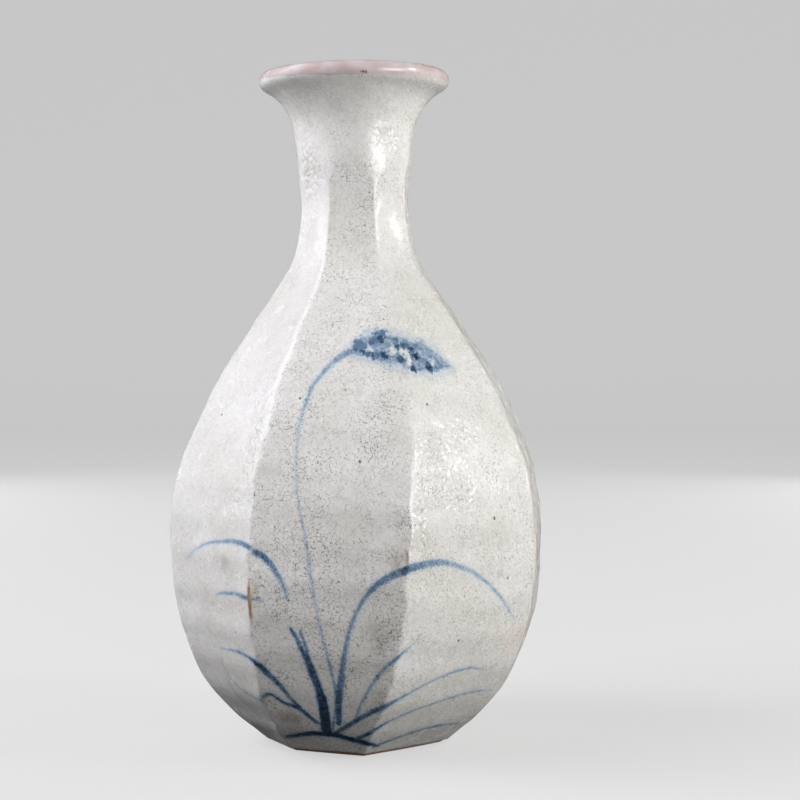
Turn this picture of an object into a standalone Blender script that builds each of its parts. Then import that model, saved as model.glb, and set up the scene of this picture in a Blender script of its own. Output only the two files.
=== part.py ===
"""Faceted sake bottle: one thrown and knife-faceted clay body under three coats of glaze.

The clay is thrown round and then cut lengthwise with a knife into eight facets, from just under the
flared mouth to the foot. Its outside, its lip and its inside each carry a coat of glaze of their own.
The frame has +Z up, and its origin is the centre of the foot's resting face. Facets face +X, -X, +Y
and -Y and the four directions between, and turn a few degrees about Z on the way up.
"""

import math

import bmesh
import bpy
from mathutils import Euler, Vector

MM = 0.001

# Driving dimensions
HEIGHT = 229 * MM
BELLY_RADIUS = 66 * MM  # to the ridges between the facets
NECK_RADIUS = 19 * MM
LIP_RADIUS = 32.8 * MM
FOOT_RADIUS = 31 * MM
FACET_COUNT = 8
RIDGE_HALF_ANGLE = math.radians(1.3)  # half of the round strip left between two facets
FACET_TWIST = math.radians(8)  # turn of the facets from the foot to the neck
KNIFE_START = 187 * MM  # the cuts are at full depth below this height
KNIFE_TOP = 199 * MM  # and run out of the round neck here
KNIFE_CLEARANCE = 1.02  # the knife's distance from the axis at KNIFE_TOP, as a share of the neck's radius
KNIFE_FLARE = 0.5  # rise over run of the knife form's side above KNIFE_TOP
GLAZE = 0.6 * MM
GAP = 0.3 * MM  # clearance between neighbouring solids
GLAZE_FOOT_HEIGHT = 1.0 * MM  # bare clay below the outer coat's lower edge
FOOT_RECESS_RADIUS = 20.5 * MM
FOOT_RECESS_DEPTH = 2.2 * MM
FOOT_RECESS_SLOPE = 1.2 * MM  # how far the recess's side leans in
FOOT_RECESS_CROWN = 0.4 * MM  # rise of the recess from its edge to its middle
STEPS = 32  # straight sides of a turned surface, a multiple of twice FACET_COUNT
ROW_LENGTH = 15 * MM  # longest row of a turned surface

# Stations of the glazed surface: (radius, height). Outside, from the foot up to the flare.
OUTSIDE = [
    (FOOT_RADIUS, 0 * MM),
    (37 * MM, 5 * MM),
    (45 * MM, 12 * MM),
    (55.4 * MM, 25 * MM),
    (63 * MM, 45 * MM),
    (BELLY_RADIUS, 70 * MM),
    (62.6 * MM, 95 * MM),
    (51.6 * MM, 120 * MM),
    (39 * MM, 140 * MM),
    (28.6 * MM, 155 * MM),
    (22.4 * MM, 165 * MM),
    (19.3 * MM, 177 * MM),
    (NECK_RADIUS, 194 * MM),
    (20.5 * MM, 208.5 * MM),
    (23.2 * MM, 216 * MM),
    (27.4 * MM, 221 * MM),
]
# Round the lip, from its underside to the edge of the mouth's inside.
LIP = [
    (31.7 * MM, 223.8 * MM),
    (LIP_RADIUS, 225.9 * MM),
    (32.3 * MM, 228 * MM),
    (30.7 * MM, HEIGHT),
    (28.6 * MM, 228.5 * MM),
]
# Inside, down the mouth and the neck to the middle of the floor.
INSIDE = [
    (25 * MM, 225.8 * MM),
    (20 * MM, 219.5 * MM),
    (16 * MM, 212 * MM),
    (13.6 * MM, 202 * MM),
    (12.8 * MM, 190 * MM),
    (13.2 * MM, 177 * MM),
    (16 * MM, 166 * MM),
    (21.4 * MM, 155 * MM),
    (31 * MM, 140 * MM),
    (42.6 * MM, 120 * MM),
    (52.8 * MM, 95 * MM),
    (56 * MM, 70 * MM),
    (53.2 * MM, 43 * MM),
    (46 * MM, 24 * MM),
    (35.5 * MM, 12.6 * MM),
    (22 * MM, 8.6 * MM),
    (0, 8 * MM),
]

BELOW = -6 * MM  # where the cutters end, under the foot
ABOVE = HEIGHT + 10 * MM  # and over the mouth
CUTTER_RADIUS = 60 * MM  # wider than the lip
OVERCUT = 3 * GLAZE  # how far the outer coat's end face runs in before the form under it is cut away
SLIVER = 0.02 * MM  # edges that a cut leaves shorter than this are dissolved
SHARP_ANGLE = math.radians(20)

GLAZE_WHITE = (0.78, 0.77, 0.74, 1)
LIP_PINK = (0.72, 0.55, 0.48, 1)
INSIDE_WHITE = (0.70, 0.69, 0.65, 1)
CLAY_BROWN = (0.42, 0.27, 0.17, 1)


# Curves in the (radius, height) plane


def catmull_rom(before, start, end, after, share):
    """Point at share of the way from start to end, on the smooth curve through all four."""
    square = share * share
    cube = square * share
    return 0.5 * (
        2 * start
        + (end - before) * share
        + (2 * before - 5 * start + 4 * end - after) * square
        + (3 * start - before - 3 * end + after) * cube
    )


def smooth_path(stations):
    """The stations joined by a smooth curve, and the place of each station among its points."""
    points = [Vector(s) for s in stations]
    ends = [2 * points[0] - points[1], *points, 2 * points[-1] - points[-2]]
    path, places = [], []
    for i in range(len(points) - 1):
        rows = math.ceil((points[i + 1] - points[i]).length / ROW_LENGTH)
        places.append(len(path))
        for row in range(rows):
            path.append(catmull_rom(*ends[i : i + 4], row / rows))
    places.append(len(path))
    return [*path, points[-1]], places


def normals(path):
    """Unit normals of the path, into the clay when the path climbs outside and comes down inside."""
    found = []
    for i in range(len(path)):
        along = path[min(i + 1, len(path) - 1)] - path[max(i - 1, 0)]
        found.append(Vector((-along.y, along.x)).normalized())
    return found


def offset(path, depth):
    """The path moved by depth into the clay."""
    return [p + n * depth for p, n in zip(path, normals(path))]


def from_height(path, height):
    """The part of a climbing path over a height, starting on it."""
    kept = [p for p in path if p.y > height + GAP]
    before = path[len(path) - len(kept) - 1]
    share = (height - before.y) / (kept[0].y - before.y)
    return [before.lerp(kept[0], share), *kept]


def past_gap(path):
    """The path, starting a gap's width further on."""
    step = path[1] - path[0]
    return [path[0] + step * (GAP / step.length), *path[1:]]


def extend_down(path):
    """The path with its foot end carried on in a straight line to the cutters' lower end."""
    slope = (path[1].x - path[0].x) / (path[1].y - path[0].y)
    return [Vector((path[0].x + slope * (BELOW - path[0].y), BELOW)), *path]


def on_axis(height):
    return Vector((0, height))


# Objects


def add_collection(name):
    made = bpy.data.collections.new(name)
    bpy.context.scene.collection.children.link(made)
    return made


def turned(name, profile, collection, steps=STEPS, closed=False):
    """A Screw modifier turns the profile about Z. Its first ring lies on a ridge between facets."""
    start_angle = math.pi / FACET_COUNT
    mesh = bpy.data.meshes.new(name)
    shape = bmesh.new()
    corners = [
        shape.verts.new((p.x * math.cos(start_angle), p.x * math.sin(start_angle), p.y)) for p in profile
    ]
    for a, b in zip(corners, corners[1:]):
        shape.edges.new((a, b))
    if closed:
        shape.edges.new((corners[-1], corners[0]))
    shape.to_mesh(mesh)
    shape.free()
    made = bpy.data.objects.new(name, mesh)
    collection.objects.link(made)
    screw = made.modifiers.new("turn", "SCREW")
    screw.axis = "Z"
    screw.steps = steps
    screw.render_steps = steps
    screw.use_merge_vertices = True
    screw.merge_threshold = 0.00001
    screw.use_normal_calculate = True
    return made


def boolean(piece, cutter, operation):
    cut = piece.modifiers.new(operation.lower(), "BOOLEAN")
    cut.operation = operation
    cut.object = cutter
    cut.solver = "EXACT"


def hide_cutter(cutter):
    cutter.hide_render = True
    cutter.display_type = "WIRE"


def material(name, color, roughness):
    made = bpy.data.materials.new(name)
    made.use_nodes = True
    shader = made.node_tree.nodes["Principled BSDF"]
    shader.inputs["Base Color"].default_value = color
    shader.inputs["Roughness"].default_value = roughness
    shader.inputs["Metallic"].default_value = 0
    return made


def freeze(piece):
    """Applies the piece's modifiers, and turns its surface as the facets climb."""
    evaluated = piece.evaluated_get(bpy.context.evaluated_depsgraph_get())
    mesh = bpy.data.meshes.new_from_object(evaluated)
    shape = bmesh.new()
    shape.from_mesh(mesh)
    bmesh.ops.dissolve_degenerate(shape, edges=shape.edges, dist=SLIVER)
    for vertex in shape.verts:
        turn = FACET_TWIST * (vertex.co.z / KNIFE_TOP - 0.5)
        vertex.co.rotate(Euler((0, 0, turn)))
    shape.to_mesh(mesh)
    shape.free()
    piece.modifiers.clear()
    piece.data = mesh
    mesh.shade_smooth()
    mesh.set_sharp_from_angle(angle=SHARP_ANGLE)


# The bottle


def knife_share(height):
    """Distance of a facet from the axis, as a share of the round form's radius."""
    full_cut = math.cos(math.pi / FACET_COUNT - RIDGE_HALF_ANGLE)
    run_out = max(0.0, (height - KNIFE_START) / (KNIFE_TOP - KNIFE_START))
    return full_cut + (KNIFE_CLEARANCE - full_cut) * run_out * run_out


def knife(name, outside, depth, collection):
    """A tall octagonal form whose sides are the facets, depth under their glazed surface."""
    flats = [Vector((p.x * knife_share(p.y), p.y)) for p in outside if p.y < KNIFE_TOP]
    flats = extend_down(offset(flats, depth))
    corners = [Vector((p.x / math.cos(math.pi / FACET_COUNT), p.y)) for p in flats]
    clear = Vector((CUTTER_RADIUS, corners[-1].y + (CUTTER_RADIUS - corners[-1].x) * KNIFE_FLARE))
    profile = [on_axis(BELOW), *corners, clear, Vector((CUTTER_RADIUS, ABOVE)), on_axis(ABOVE)]
    made = turned(name, profile[::-1], collection, FACET_COUNT)
    hide_cutter(made)
    return made


def make_bottle():
    for old in list(bpy.data.objects):
        bpy.data.objects.remove(old)
    parts = add_collection("sake_bottle")
    cutters = add_collection("cutters")

    skin, places = smooth_path(OUTSIDE + LIP + INSIDE)
    lip_start = places[len(OUTSIDE)]
    lip_end = places[len(OUTSIDE) + len(LIP) - 1]
    lip_top = max(range(len(skin)), key=lambda i: skin[i].y)
    under_glaze = offset(skin, GLAZE)
    clay_skin = offset(skin, GLAZE + GAP)

    # Clay: the thrown vessel with its turned foot recess, faceted outside
    recess = [
        on_axis(FOOT_RECESS_DEPTH + FOOT_RECESS_CROWN),
        Vector((FOOT_RECESS_RADIUS - FOOT_RECESS_SLOPE, FOOT_RECESS_DEPTH)),
        Vector((FOOT_RECESS_RADIUS, 0)),
    ]
    clay_outside = from_height(clay_skin[:lip_top], 0)
    clay_profile = [*recess, *clay_outside, *clay_skin[lip_top:-1], on_axis(clay_skin[-1].y)]
    clay = turned("clay_body", clay_profile[::-1], parts)
    boolean(clay, knife("knife_clay", skin[: lip_start + 1], GLAZE + GAP, cutters), "INTERSECT")
    clay.data.materials.append(material("clay", CLAY_BROWN, 0.85))

    # Outer coat: a faceted form up to the lip's underside, less the form under the glaze
    coat_outside = from_height(past_gap(skin[lip_start::-1])[::-1], GLAZE_FOOT_HEIGHT)
    shoulder = coat_outside[-1] + normals(skin)[lip_start] * OVERCUT
    coat_profile = [on_axis(GLAZE_FOOT_HEIGHT), *coat_outside, shoulder, on_axis(shoulder.y)]
    outer = turned("outer_glaze", coat_profile[::-1], parts)
    boolean(outer, knife("knife_glaze", skin[: lip_start + 1], 0, cutters), "INTERSECT")
    under_outside = extend_down(under_glaze[: lip_top + 1])
    under_profile = [on_axis(BELOW), *under_outside, on_axis(under_outside[-1].y)]
    under = turned("form_under_glaze", under_profile[::-1], cutters)
    hide_cutter(under)
    boolean(under, knife("knife_under_glaze", skin[: lip_start + 1], GLAZE, cutters), "INTERSECT")
    boolean(outer, under, "DIFFERENCE")
    outer.data.materials.append(material("crackle_glaze", GLAZE_WHITE, 0.25))

    # Lip coat: a ring over the lip
    lip_face = skin[lip_start : lip_end + 1]
    lip_back = under_glaze[lip_start : lip_end + 1]
    lip = turned("lip_glaze", [*lip_face[::-1], *lip_back], parts, closed=True)
    lip.data.materials.append(material("lip_glaze", LIP_PINK, 0.25))

    # Inner coat: a lining from the mouth down over the floor
    inner_face = past_gap(skin[lip_end:])
    inner_back = past_gap(under_glaze[lip_end:-1])
    inner_profile = [*inner_face[::-1], *inner_back, on_axis(skin[-1].y - GLAZE)]
    inner = turned("inner_glaze", inner_profile, parts)
    inner.data.materials.append(material("inner_glaze", INSIDE_WHITE, 0.3))

    for piece in (clay, outer, lip, inner):
        freeze(piece)


make_bottle()
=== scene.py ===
"""Sake bottle: the fine surface, the glazes and the cobalt painting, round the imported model.

Azimuths are in degrees from -Y towards +X, so the painted side is at 0. Stations and strokes are in
millimetres and turned into metres where they are placed.
"""

import math

import bpy
import numpy as np
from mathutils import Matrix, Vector, noise


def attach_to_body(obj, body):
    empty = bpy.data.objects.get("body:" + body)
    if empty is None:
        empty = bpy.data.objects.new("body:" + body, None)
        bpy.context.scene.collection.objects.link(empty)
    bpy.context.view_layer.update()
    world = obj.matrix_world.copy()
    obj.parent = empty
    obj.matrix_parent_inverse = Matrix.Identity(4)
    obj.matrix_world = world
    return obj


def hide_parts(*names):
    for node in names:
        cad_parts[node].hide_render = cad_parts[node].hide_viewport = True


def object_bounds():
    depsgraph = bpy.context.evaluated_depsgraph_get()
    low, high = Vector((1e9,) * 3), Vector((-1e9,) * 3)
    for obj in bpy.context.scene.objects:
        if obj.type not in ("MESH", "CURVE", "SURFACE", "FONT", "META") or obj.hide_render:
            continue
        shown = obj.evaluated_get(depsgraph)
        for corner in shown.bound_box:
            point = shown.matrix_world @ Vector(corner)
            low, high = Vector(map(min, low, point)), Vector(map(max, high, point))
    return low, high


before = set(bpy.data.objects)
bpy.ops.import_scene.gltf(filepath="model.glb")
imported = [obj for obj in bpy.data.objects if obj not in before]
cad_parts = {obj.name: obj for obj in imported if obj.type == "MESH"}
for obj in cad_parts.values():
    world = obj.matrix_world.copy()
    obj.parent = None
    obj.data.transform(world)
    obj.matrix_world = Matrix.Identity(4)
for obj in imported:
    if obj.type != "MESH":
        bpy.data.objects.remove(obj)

MM = 0.001
CAD_LOW, CAD_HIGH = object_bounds()
HEIGHT = CAD_HIGH.z / MM

# The thrown form under the knife's cuts: (radius, height), up the outside, over the lip, down inside.
# The outside's radii began as a scratch program's fit to the photo's silhouette, rounded and then
# adjusted by hand. The inside is guessed.
OUTSIDE = [
    (31, 0),
    (37, 5),
    (45, 12),
    (55.4, 25),
    (63, 45),
    (65.5, 70),
    (62.4, 95),
    (52, 120),
    (39.3, 140),
    (28.6, 155),
    (22.4, 165),
    (19.4, 177),
    (19.1, 190),
    (20.4, 208),
    (23.1, 216),
    (27.2, 221),
    (31.4, 223.8),
]
LIP = [(32.5, 225.9), (32.1, 228), (30.6, HEIGHT), (28.6, 228.5)]
INSIDE = [
    (25, 225.8),
    (20, 219.5),
    (16, 212),
    (13.6, 202),
    (12.8, 190),
    (13.2, 177),
    (16, 166),
    (21.4, 155),
    (31, 140),
    (42.6, 120),
    (52.8, 95),
    (56, 70),
    (53.2, 43),
    (46, 24),
    (35.5, 12.6),
    (22, 8.6),
    (0, 8),
]
FOOT_RECESS = [(10, 2.5), (19.3, 2.2), (20.5, 0)]  # from near the axis out to the foot ring

# Ridges between the facets: azimuth at each of RIDGE_HEIGHTS, wandering as the knife did. At least the
# first two follow places in the photo that a scratch program turned into azimuths. The back ones are
# guessed.
RIDGE_HEIGHTS = [0, 12, 40, 75, 120, 160, 195]
RIDGES = [
    [-37, -29, -23.8, -23, -22.2, -19, -17],
    [12.5, 16.2, 21.3, 23.5, 25.2, 27.5, 29],
    [80, 75, 72.5, 72, 72, 72, 73],
    [110, 107, 107, 107, 107, 108, 110],
    [155, 157, 158, 159, 161, 161, 162],
    [202, 200, 201, 204, 205, 206, 207],
    [247, 246, 246, 248, 250, 252, 252],
    [290, 291, 291, 292, 293, 294, 295],
]
CUT_TOPS = [201, 198, 203, 199, 196, 202, 198, 200]  # where each facet's cut runs out of the neck
CUT_RUN_OUT = 16  # height over which a cut gets shallow
CUT_CLEAR = 1.02  # a cut's distance from the axis at its top, as a share of the neck's radius
BOW = 0.95  # under 1, the knife leaves a facet slightly crowned
RIDGE_SOFTNESS = ([0, 88, 106, 128, 158, 172, 200], [0.012, 0.012, 0.03, 0.055, 0.05, 0.022, 0.025])
LEAN = ([0, 120, 165, 190, 228], [0, -0.1, -0.8, -1.3, -1.4])  # sideways drift of the axis by height
MOUTH_TILT = 0.012  # rise over run of the mouth, towards +X

GLAZE = 0.55
GLAZE_EDGE = 1.0  # height of the outer glaze's lower edge over the table
EDGE_ROUND = 0.9  # length over which that edge thins

# Mesh columns from each ridge to the next, most on the painted side
FACET_COLUMNS = [60, 60, 36, 24, 24, 24, 30, 56]
CROWDING = 0.4  # how much closer together the columns are at a ridge
OUTER_ROWS = 265
BACK_ROWS = 36
LIP_ROWS = 26
LINING_ROWS = 120
CLAY_ROWS = 90
CLAY_INNER_ROWS = 150
RECESS_ROWS = 12
CLAY_GAP = 0.05  # between the clay and the glaze's back
FOOT_BEVEL = 0.97  # radius of the foot's flat ring, as a share of the wall's lowest radius
FINE_STEPS = 24  # points in each stretch of a smooth curve
EDGE_STEP = 0.05  # share of a row's height left between an edge and the row added beside it

CAMERA_AZIMUTH = 8.9
CAMERA_DISTANCE = 0.613
CAMERA_HEIGHT = 0.1375
CAMERA_PITCH = math.radians(1.92)
CAMERA_ASIDE = 0.0144  # how far to the right of the bottle's axis the camera points
LENS = 79.85


# Curves


def smooth_curve(stations, count):
    """count points on the smooth curve through the stations, evenly spaced by their first two columns."""
    points = np.array(stations, float)
    ends = np.vstack([2 * points[0] - points[1], points, 2 * points[-1] - points[-2]])
    share = np.linspace(0, 1, FINE_STEPS, endpoint=False)[:, None]
    stretches = []
    for before, start, end, after in zip(ends, ends[1:], ends[2:], ends[3:]):
        square = (2 * before - 5 * start + 4 * end - after) * share**2
        cube = (3 * start - before - 3 * end + after) * share**3
        stretches.append((2 * start + (end - before) * share + square + cube) / 2)
    dense = np.vstack([*stretches, points[-1:]])
    steps = np.linalg.norm(np.diff(dense[:, :2], axis=0), axis=1)
    length = np.concatenate([[0], np.cumsum(steps)])
    places = np.linspace(0, length[-1], count)
    return np.column_stack([np.interp(places, length, column) for column in dense.T])


SKIN = smooth_curve(OUTSIDE + LIP + INSIDE, 4000)
LIP_START = int(np.argmin(np.linalg.norm(SKIN - OUTSIDE[-1], axis=1)))
LIP_END = int(np.argmin(np.linalg.norm(SKIN - LIP[-1], axis=1)))
WALL = SKIN[: LIP_START + 1]


def unit(vectors):
    return vectors / np.linalg.norm(vectors, axis=-1)[..., None]


def offset(path, depth):
    """The path moved by depth into the clay."""
    along = unit(np.gradient(path, axis=0))
    return path + np.column_stack([-along[:, 1], along[:, 0]]) * depth


def resampled(path, count):
    """count points along a path, smoothed through at most 400 or so of its own."""
    return smooth_curve(path[:: max(1, len(path) // 400)].tolist() + [path[-1]], count)


def edged(path):
    """The path with a point added close to each end, so that its shading holds right up to its edges."""
    first = path[:1] + (path[1:2] - path[:1]) * EDGE_STEP
    last = path[-1:] + (path[-2:-1] - path[-1:]) * EDGE_STEP
    return np.vstack([path[:1], first, path[1:-1], last, path[-1:]])


# The faceted form


def soft_min(a, b, softness):
    """The smaller of a and b, rounded where they are closer than softness."""
    near = np.clip(softness - np.abs(a - b), 0, None) / softness
    return np.minimum(a, b) - near**2 * softness / 4


def ridge_azimuths(height):
    """Azimuth of each ridge at each height, and the first one again a turn later."""
    ridges = []
    for index, stations in enumerate(RIDGES + [[azimuth + 360 for azimuth in RIDGES[0]]]):
        step = index % len(RIDGES)
        shake = 0.35 * np.sin(height / 4.1 + 1.7 * step) + 0.25 * np.sin(height / 1.9 + 4.1 * step)
        ridges.append(np.interp(height, RIDGE_HEIGHTS, stations) + shake)
    return np.array(ridges)


def cut_share(azimuth, height):
    """Distance of the cut surface from the axis, as a share of the thrown radius there."""
    ridges = ridge_azimuths(height)
    start, end = ridges[:-1], ridges[1:]
    tops = np.reshape(CUT_TOPS, (-1,) + (1,) * np.ndim(height))
    run_out = np.clip((height - tops + CUT_RUN_OUT) / CUT_RUN_OUT, 0, 2) ** 2
    flat = np.cos(np.radians(end - start) / 2)
    flat = flat + (CUT_CLEAR - flat) * run_out
    away = np.radians((azimuth - (start + end) / 2 + 180) % 360 - 180)
    reach = flat / np.maximum(np.cos(away * BOW), 0.2)
    reach.sort(axis=0)
    softness = np.interp(height, *RIDGE_SOFTNESS)
    return soft_min(soft_min(reach[0], reach[1], softness), 1, 0.01)


def wobble(azimuth, height):
    """Slow unevenness of the hand-made wall, in millimetres."""
    turn = np.radians(azimuth)
    waves = 0.16 * np.sin(3 * turn + height / 17) + 0.14 * np.sin(5 * turn - height / 11 + 2)
    waves = waves + 0.10 * np.sin(7 * turn + height / 6 + 1) + 0.08 * np.sin(11 * turn - height / 7.5)
    return waves * np.interp(height, [0, 30, 175, 210, 220], [0.5, 1.2, 0.9, 0.4, 0])


def placed(azimuth, radius, height):
    """Points in metres at an azimuth, radius and height, with the neck's lean and the mouth's tilt."""
    turn = np.radians(azimuth)
    x = radius * np.sin(turn) + np.interp(height, *LEAN)
    tilt = MOUTH_TILT * x * np.clip((height - 200) / (HEIGHT - 200), 0, 1)
    return np.stack([x, -radius * np.cos(turn), height + tilt], axis=-1) * MM


def wall_radius(azimuth, height, radius):
    """Radius of the cut and uneven wall, where the thrown one would be radius."""
    return radius * cut_share(azimuth, height) + wobble(azimuth, height)


def on_wall(azimuth, height):
    """Points on the glazed outside, in metres."""
    thrown = np.interp(height, WALL[:, 1], WALL[:, 0])
    return placed(azimuth, wall_radius(azimuth, height, thrown), height)


def columns(thinning=1):
    """For each column, the facet it is on and how far across it."""
    facets, shares = [], []
    for facet, full in enumerate(FACET_COLUMNS):
        count = full // thinning
        share = np.arange(count) / count
        shares.append(share - CROWDING * np.sin(2 * math.pi * share) / (2 * math.pi))
        facets.append(np.full(count, facet))
    return np.concatenate(facets), np.concatenate(shares)


def azimuths(height, facet, share):
    """Azimuths of a grid of points, whose columns run along the facets and ridges."""
    ridges = ridge_azimuths(height)
    every = np.arange(len(facet))
    start, end = ridges[facet, :, every].T, ridges[facet + 1, :, every].T
    return start + (end - start) * share


def grid_normals(points):
    """Outward normals of a grid of points whose rows climb and whose columns go round."""
    across = np.roll(points, -1, axis=1) - np.roll(points, 1, axis=1)
    up = np.gradient(points, axis=0)
    return unit(np.cross(across, up))


# Meshes


def grid_mesh(name, rows, closed):
    """A mesh over rows of points that go round. Its ends meet if closed, or end in points on the axis."""
    rows = np.asarray(rows)
    count, around = rows.shape[:2]
    vertices = rows.reshape(-1, 3)
    index = np.arange(count * around).reshape(count, around)
    if closed:
        index = np.vstack([index, index[:1]])
    beside = np.roll(index, -1, axis=1)
    faces = np.stack([index[:-1], beside[:-1], beside[1:], index[1:]], axis=-1).reshape(-1, 4).tolist()
    if not closed:
        ends = np.array([rows[0].mean(axis=0), rows[-1].mean(axis=0)])
        first, last = len(vertices), len(vertices) + 1
        vertices = np.vstack([vertices, ends])
        faces += [[b, a, first] for a, b in zip(index[0], beside[0])]
        faces += [[a, b, last] for a, b in zip(index[-1], beside[-1])]
    mesh = bpy.data.meshes.new(name)
    mesh.from_pydata(vertices.tolist(), [], faces)
    mesh.shade_smooth()
    made = bpy.data.objects.new(name, mesh)
    bpy.context.scene.collection.objects.link(made)
    return made


def attach(piece, node, material):
    piece.data.materials.append(material)
    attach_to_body(piece, "root")
    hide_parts(node)


def put_vectors(piece, name, values):
    layer = piece.data.attributes.new(name, "FLOAT_VECTOR", "POINT")
    layer.data.foreach_set("vector", values.astype(np.float32).ravel())


def put_colors(piece, name, values):
    layer = piece.data.attributes.new(name, "FLOAT_COLOR", "POINT")
    layer.data.foreach_set("color", values.astype(np.float32).ravel())


# The painting: strokes of (azimuth, height, width, ink), drawn from the root outwards. Most azimuths and
# heights are the output of a scratch program, given places picked by eye in the photo, and so are most
# places in DABS and GAPS. Widths, radii and inks were set one by one.

STROKES = {
    "stem": [
        (-3.5, 9.5, 0.8, 0.9),
        (-0.5, 17.5, 0.9, 0.8),
        (0.8, 25, 1.2, 0.7),
        (-0.4, 34.5, 1.1, 0.55),
        (-3.5, 50.5, 0.9, 0.42),
        (-6.8, 74, 0.9, 0.4),
        (-10.2, 91, 0.8, 0.3),
        (-11.6, 103, 0.9, 0.27),
        (-11.5, 112, 1.1, 0.38),
        (-9.4, 122, 1.4, 0.45),
        (-6, 126.7, 1.6, 0.5),
        (-1, 131, 2.0, 0.5),
        (6, 134.3, 2.2, 0.6),
    ],
    "arch": [
        (0.5, 13.5, 2.0, 1.1),
        (1.3, 21, 2.5, 1.05),
        (2.8, 28.5, 2.5, 0.9),
        (4, 36, 1.9, 0.7),
        (6.5, 47.5, 1.4, 0.62),
        (10.2, 56, 1.6, 0.66),
        (14, 61, 2.1, 0.75),
        (18, 64, 2.5, 0.85),
        (22.3, 66, 2.6, 1.15),
        (24.6, 66.8, 2.8, 0.75),
        (31, 67.4, 2.6, 0.65),
        (37, 67, 2.1, 0.5),
        (48, 62.8, 1.5, 0.45),
        (58.5, 55, 1.2, 0.45),
        (68, 45, 0.6, 0.25),
    ],
    "left_arch": [
        (-12.2, 55.5, 0.7, 0.45),
        (-13.8, 61.4, 1.4, 0.6),
        (-16.2, 65.7, 1.9, 0.75),
        (-19, 69.2, 2.2, 0.95),
        (-21.3, 70.7, 2.1, 1.0),
        (-22.7, 71.7, 1.3, 0.25),
        (-24.2, 72.6, 1.9, 1.0),
        (-28.5, 73.4, 1.7, 0.62),
        (-36, 73, 1.4, 0.5),
        (-45.5, 71.4, 1.2, 0.45),
        (-53, 68.4, 0.9, 0.35),
        (-59.5, 64.5, 0.5, 0.25),
    ],
    "left_short": [
        (-19.5, 55.5, 0.7, 0.4),
        (-22, 56, 1.1, 0.7),
        (-25.7, 56.3, 1.6, 0.85),
        (-29.5, 56.8, 1.4, 0.6),
        (-36, 56.3, 1.2, 0.55),
        (-42, 55, 0.6, 0.3),
    ],
    "left_low": [
        (-8.5, 13.4, 1.4, 0.9),
        (-13.2, 17.6, 1.7, 1.0),
        (-14.8, 19.6, 1.9, 1.1),
        (-16.7, 22.8, 1.5, 0.9),
        (-19, 27.3, 1.9, 1.0),
        (-21.5, 30.8, 2.2, 1.1),
        (-23.8, 33.9, 2.2, 1.3),
        (-27, 36, 1.4, 0.8),
        (-33.5, 37.2, 1.1, 0.55),
        (-45, 36.8, 0.7, 0.35),
    ],
    "curl": [
        (-9, 13.4, 1.4, 1.0),
        (-14.4, 18.7, 1.8, 1.25),
        (-17.6, 19.9, 1.5, 1.15),
        (-20.3, 21, 1.4, 1.1),
        (-22, 22.8, 1.3, 1.1),
        (-23.8, 23.9, 1.2, 1.0),
        (-26, 22.9, 1.1, 0.9),
        (-28, 21.2, 0.8, 0.7),
    ],
    "left_faint": [
        (-28, 21, 0.9, 0.6),
        (-36.4, 22.6, 0.8, 0.45),
        (-44, 25.7, 0.7, 0.4),
        (-46, 30.8, 0.6, 0.35),
        (-44.3, 35.7, 0.4, 0.25),
    ],
    "left_faint_low": [
        (-39.8, 12.3, 0.6, 0.35),
        (-44.2, 16.5, 0.8, 0.45),
        (-46.7, 20.4, 0.8, 0.45),
        (-47.5, 26, 0.5, 0.3),
    ],
    "blade_foot": [
        (-6.3, 9, 3.7, 1.7),
        (-4.8, 17.5, 3.4, 1.55),
        (-4.8, 24.4, 3.2, 1.4),
    ],
    "blade": [
        (-4.7, 22.5, 2.8, 1.3),
        (-5.1, 26, 2.6, 1.25),
        (-6.3, 31, 2.6, 1.25),
        (-8.2, 37.5, 2.3, 1.1),
        (-10, 42, 1.6, 1.0),
        (-12.2, 46.8, 1.1, 0.9),
    ],
    "blade_fork": [
        (-6.7, 34, 1.4, 1.05),
        (-7.8, 40, 1.2, 0.95),
        (-9.2, 46, 0.9, 0.85),
    ],
    "right_thin": [
        (7.5, 15.5, 0.8, 0.5),
        (10, 21.9, 1.0, 0.6),
        (13.3, 28.6, 1.2, 0.65),
        (17, 34.2, 1.3, 0.75),
        (20.7, 38, 1.3, 0.85),
        (24, 40.6, 0.9, 0.45),
        (28, 43.5, 0.5, 0.25),
    ],
    "right_low": [
        (-2.5, 9.5, 1.6, 1.1),
        (4.6, 13.3, 1.7, 1.05),
        (11.4, 17.4, 1.8, 1.1),
        (16.3, 20.2, 1.9, 1.25),
        (20.2, 22, 1.4, 0.85),
        (27, 24.6, 1.0, 0.6),
        (36, 27.8, 0.9, 0.55),
        (45, 29.8, 0.9, 0.55),
        (53, 30.6, 1.0, 0.55),
        (60, 29.5, 0.6, 0.3),
    ],
    "right_lower": [
        (6.4, 7, 1.6, 1.0),
        (12, 9.6, 1.6, 1.1),
        (16.6, 12.3, 1.4, 1.0),
        (22, 14.7, 0.9, 0.6),
        (33.3, 17.8, 0.9, 0.5),
        (48, 20, 0.9, 0.5),
        (62, 21.2, 1.0, 0.5),
        (72, 20.3, 0.5, 0.25),
    ],
    "right_lowest": [
        (17, 4.2, 1.0, 0.9),
        (27, 6, 1.1, 0.65),
        (40, 8, 1.1, 0.55),
        (56, 9, 1.2, 0.6),
        (72, 8, 0.7, 0.3),
    ],
    "ground": [
        (-31, 6.2, 1.1, 1.0),
        (-20, 8.2, 1.7, 1.3),
        (-13, 9, 1.9, 1.5),
        (-3, 9.1, 2.3, 1.65),
        (3, 7.9, 2.1, 1.6),
        (10, 6.6, 2.1, 1.5),
        (16.5, 5.1, 1.4, 1.3),
        (20.5, 4, 0.8, 0.9),
    ],
}
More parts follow.
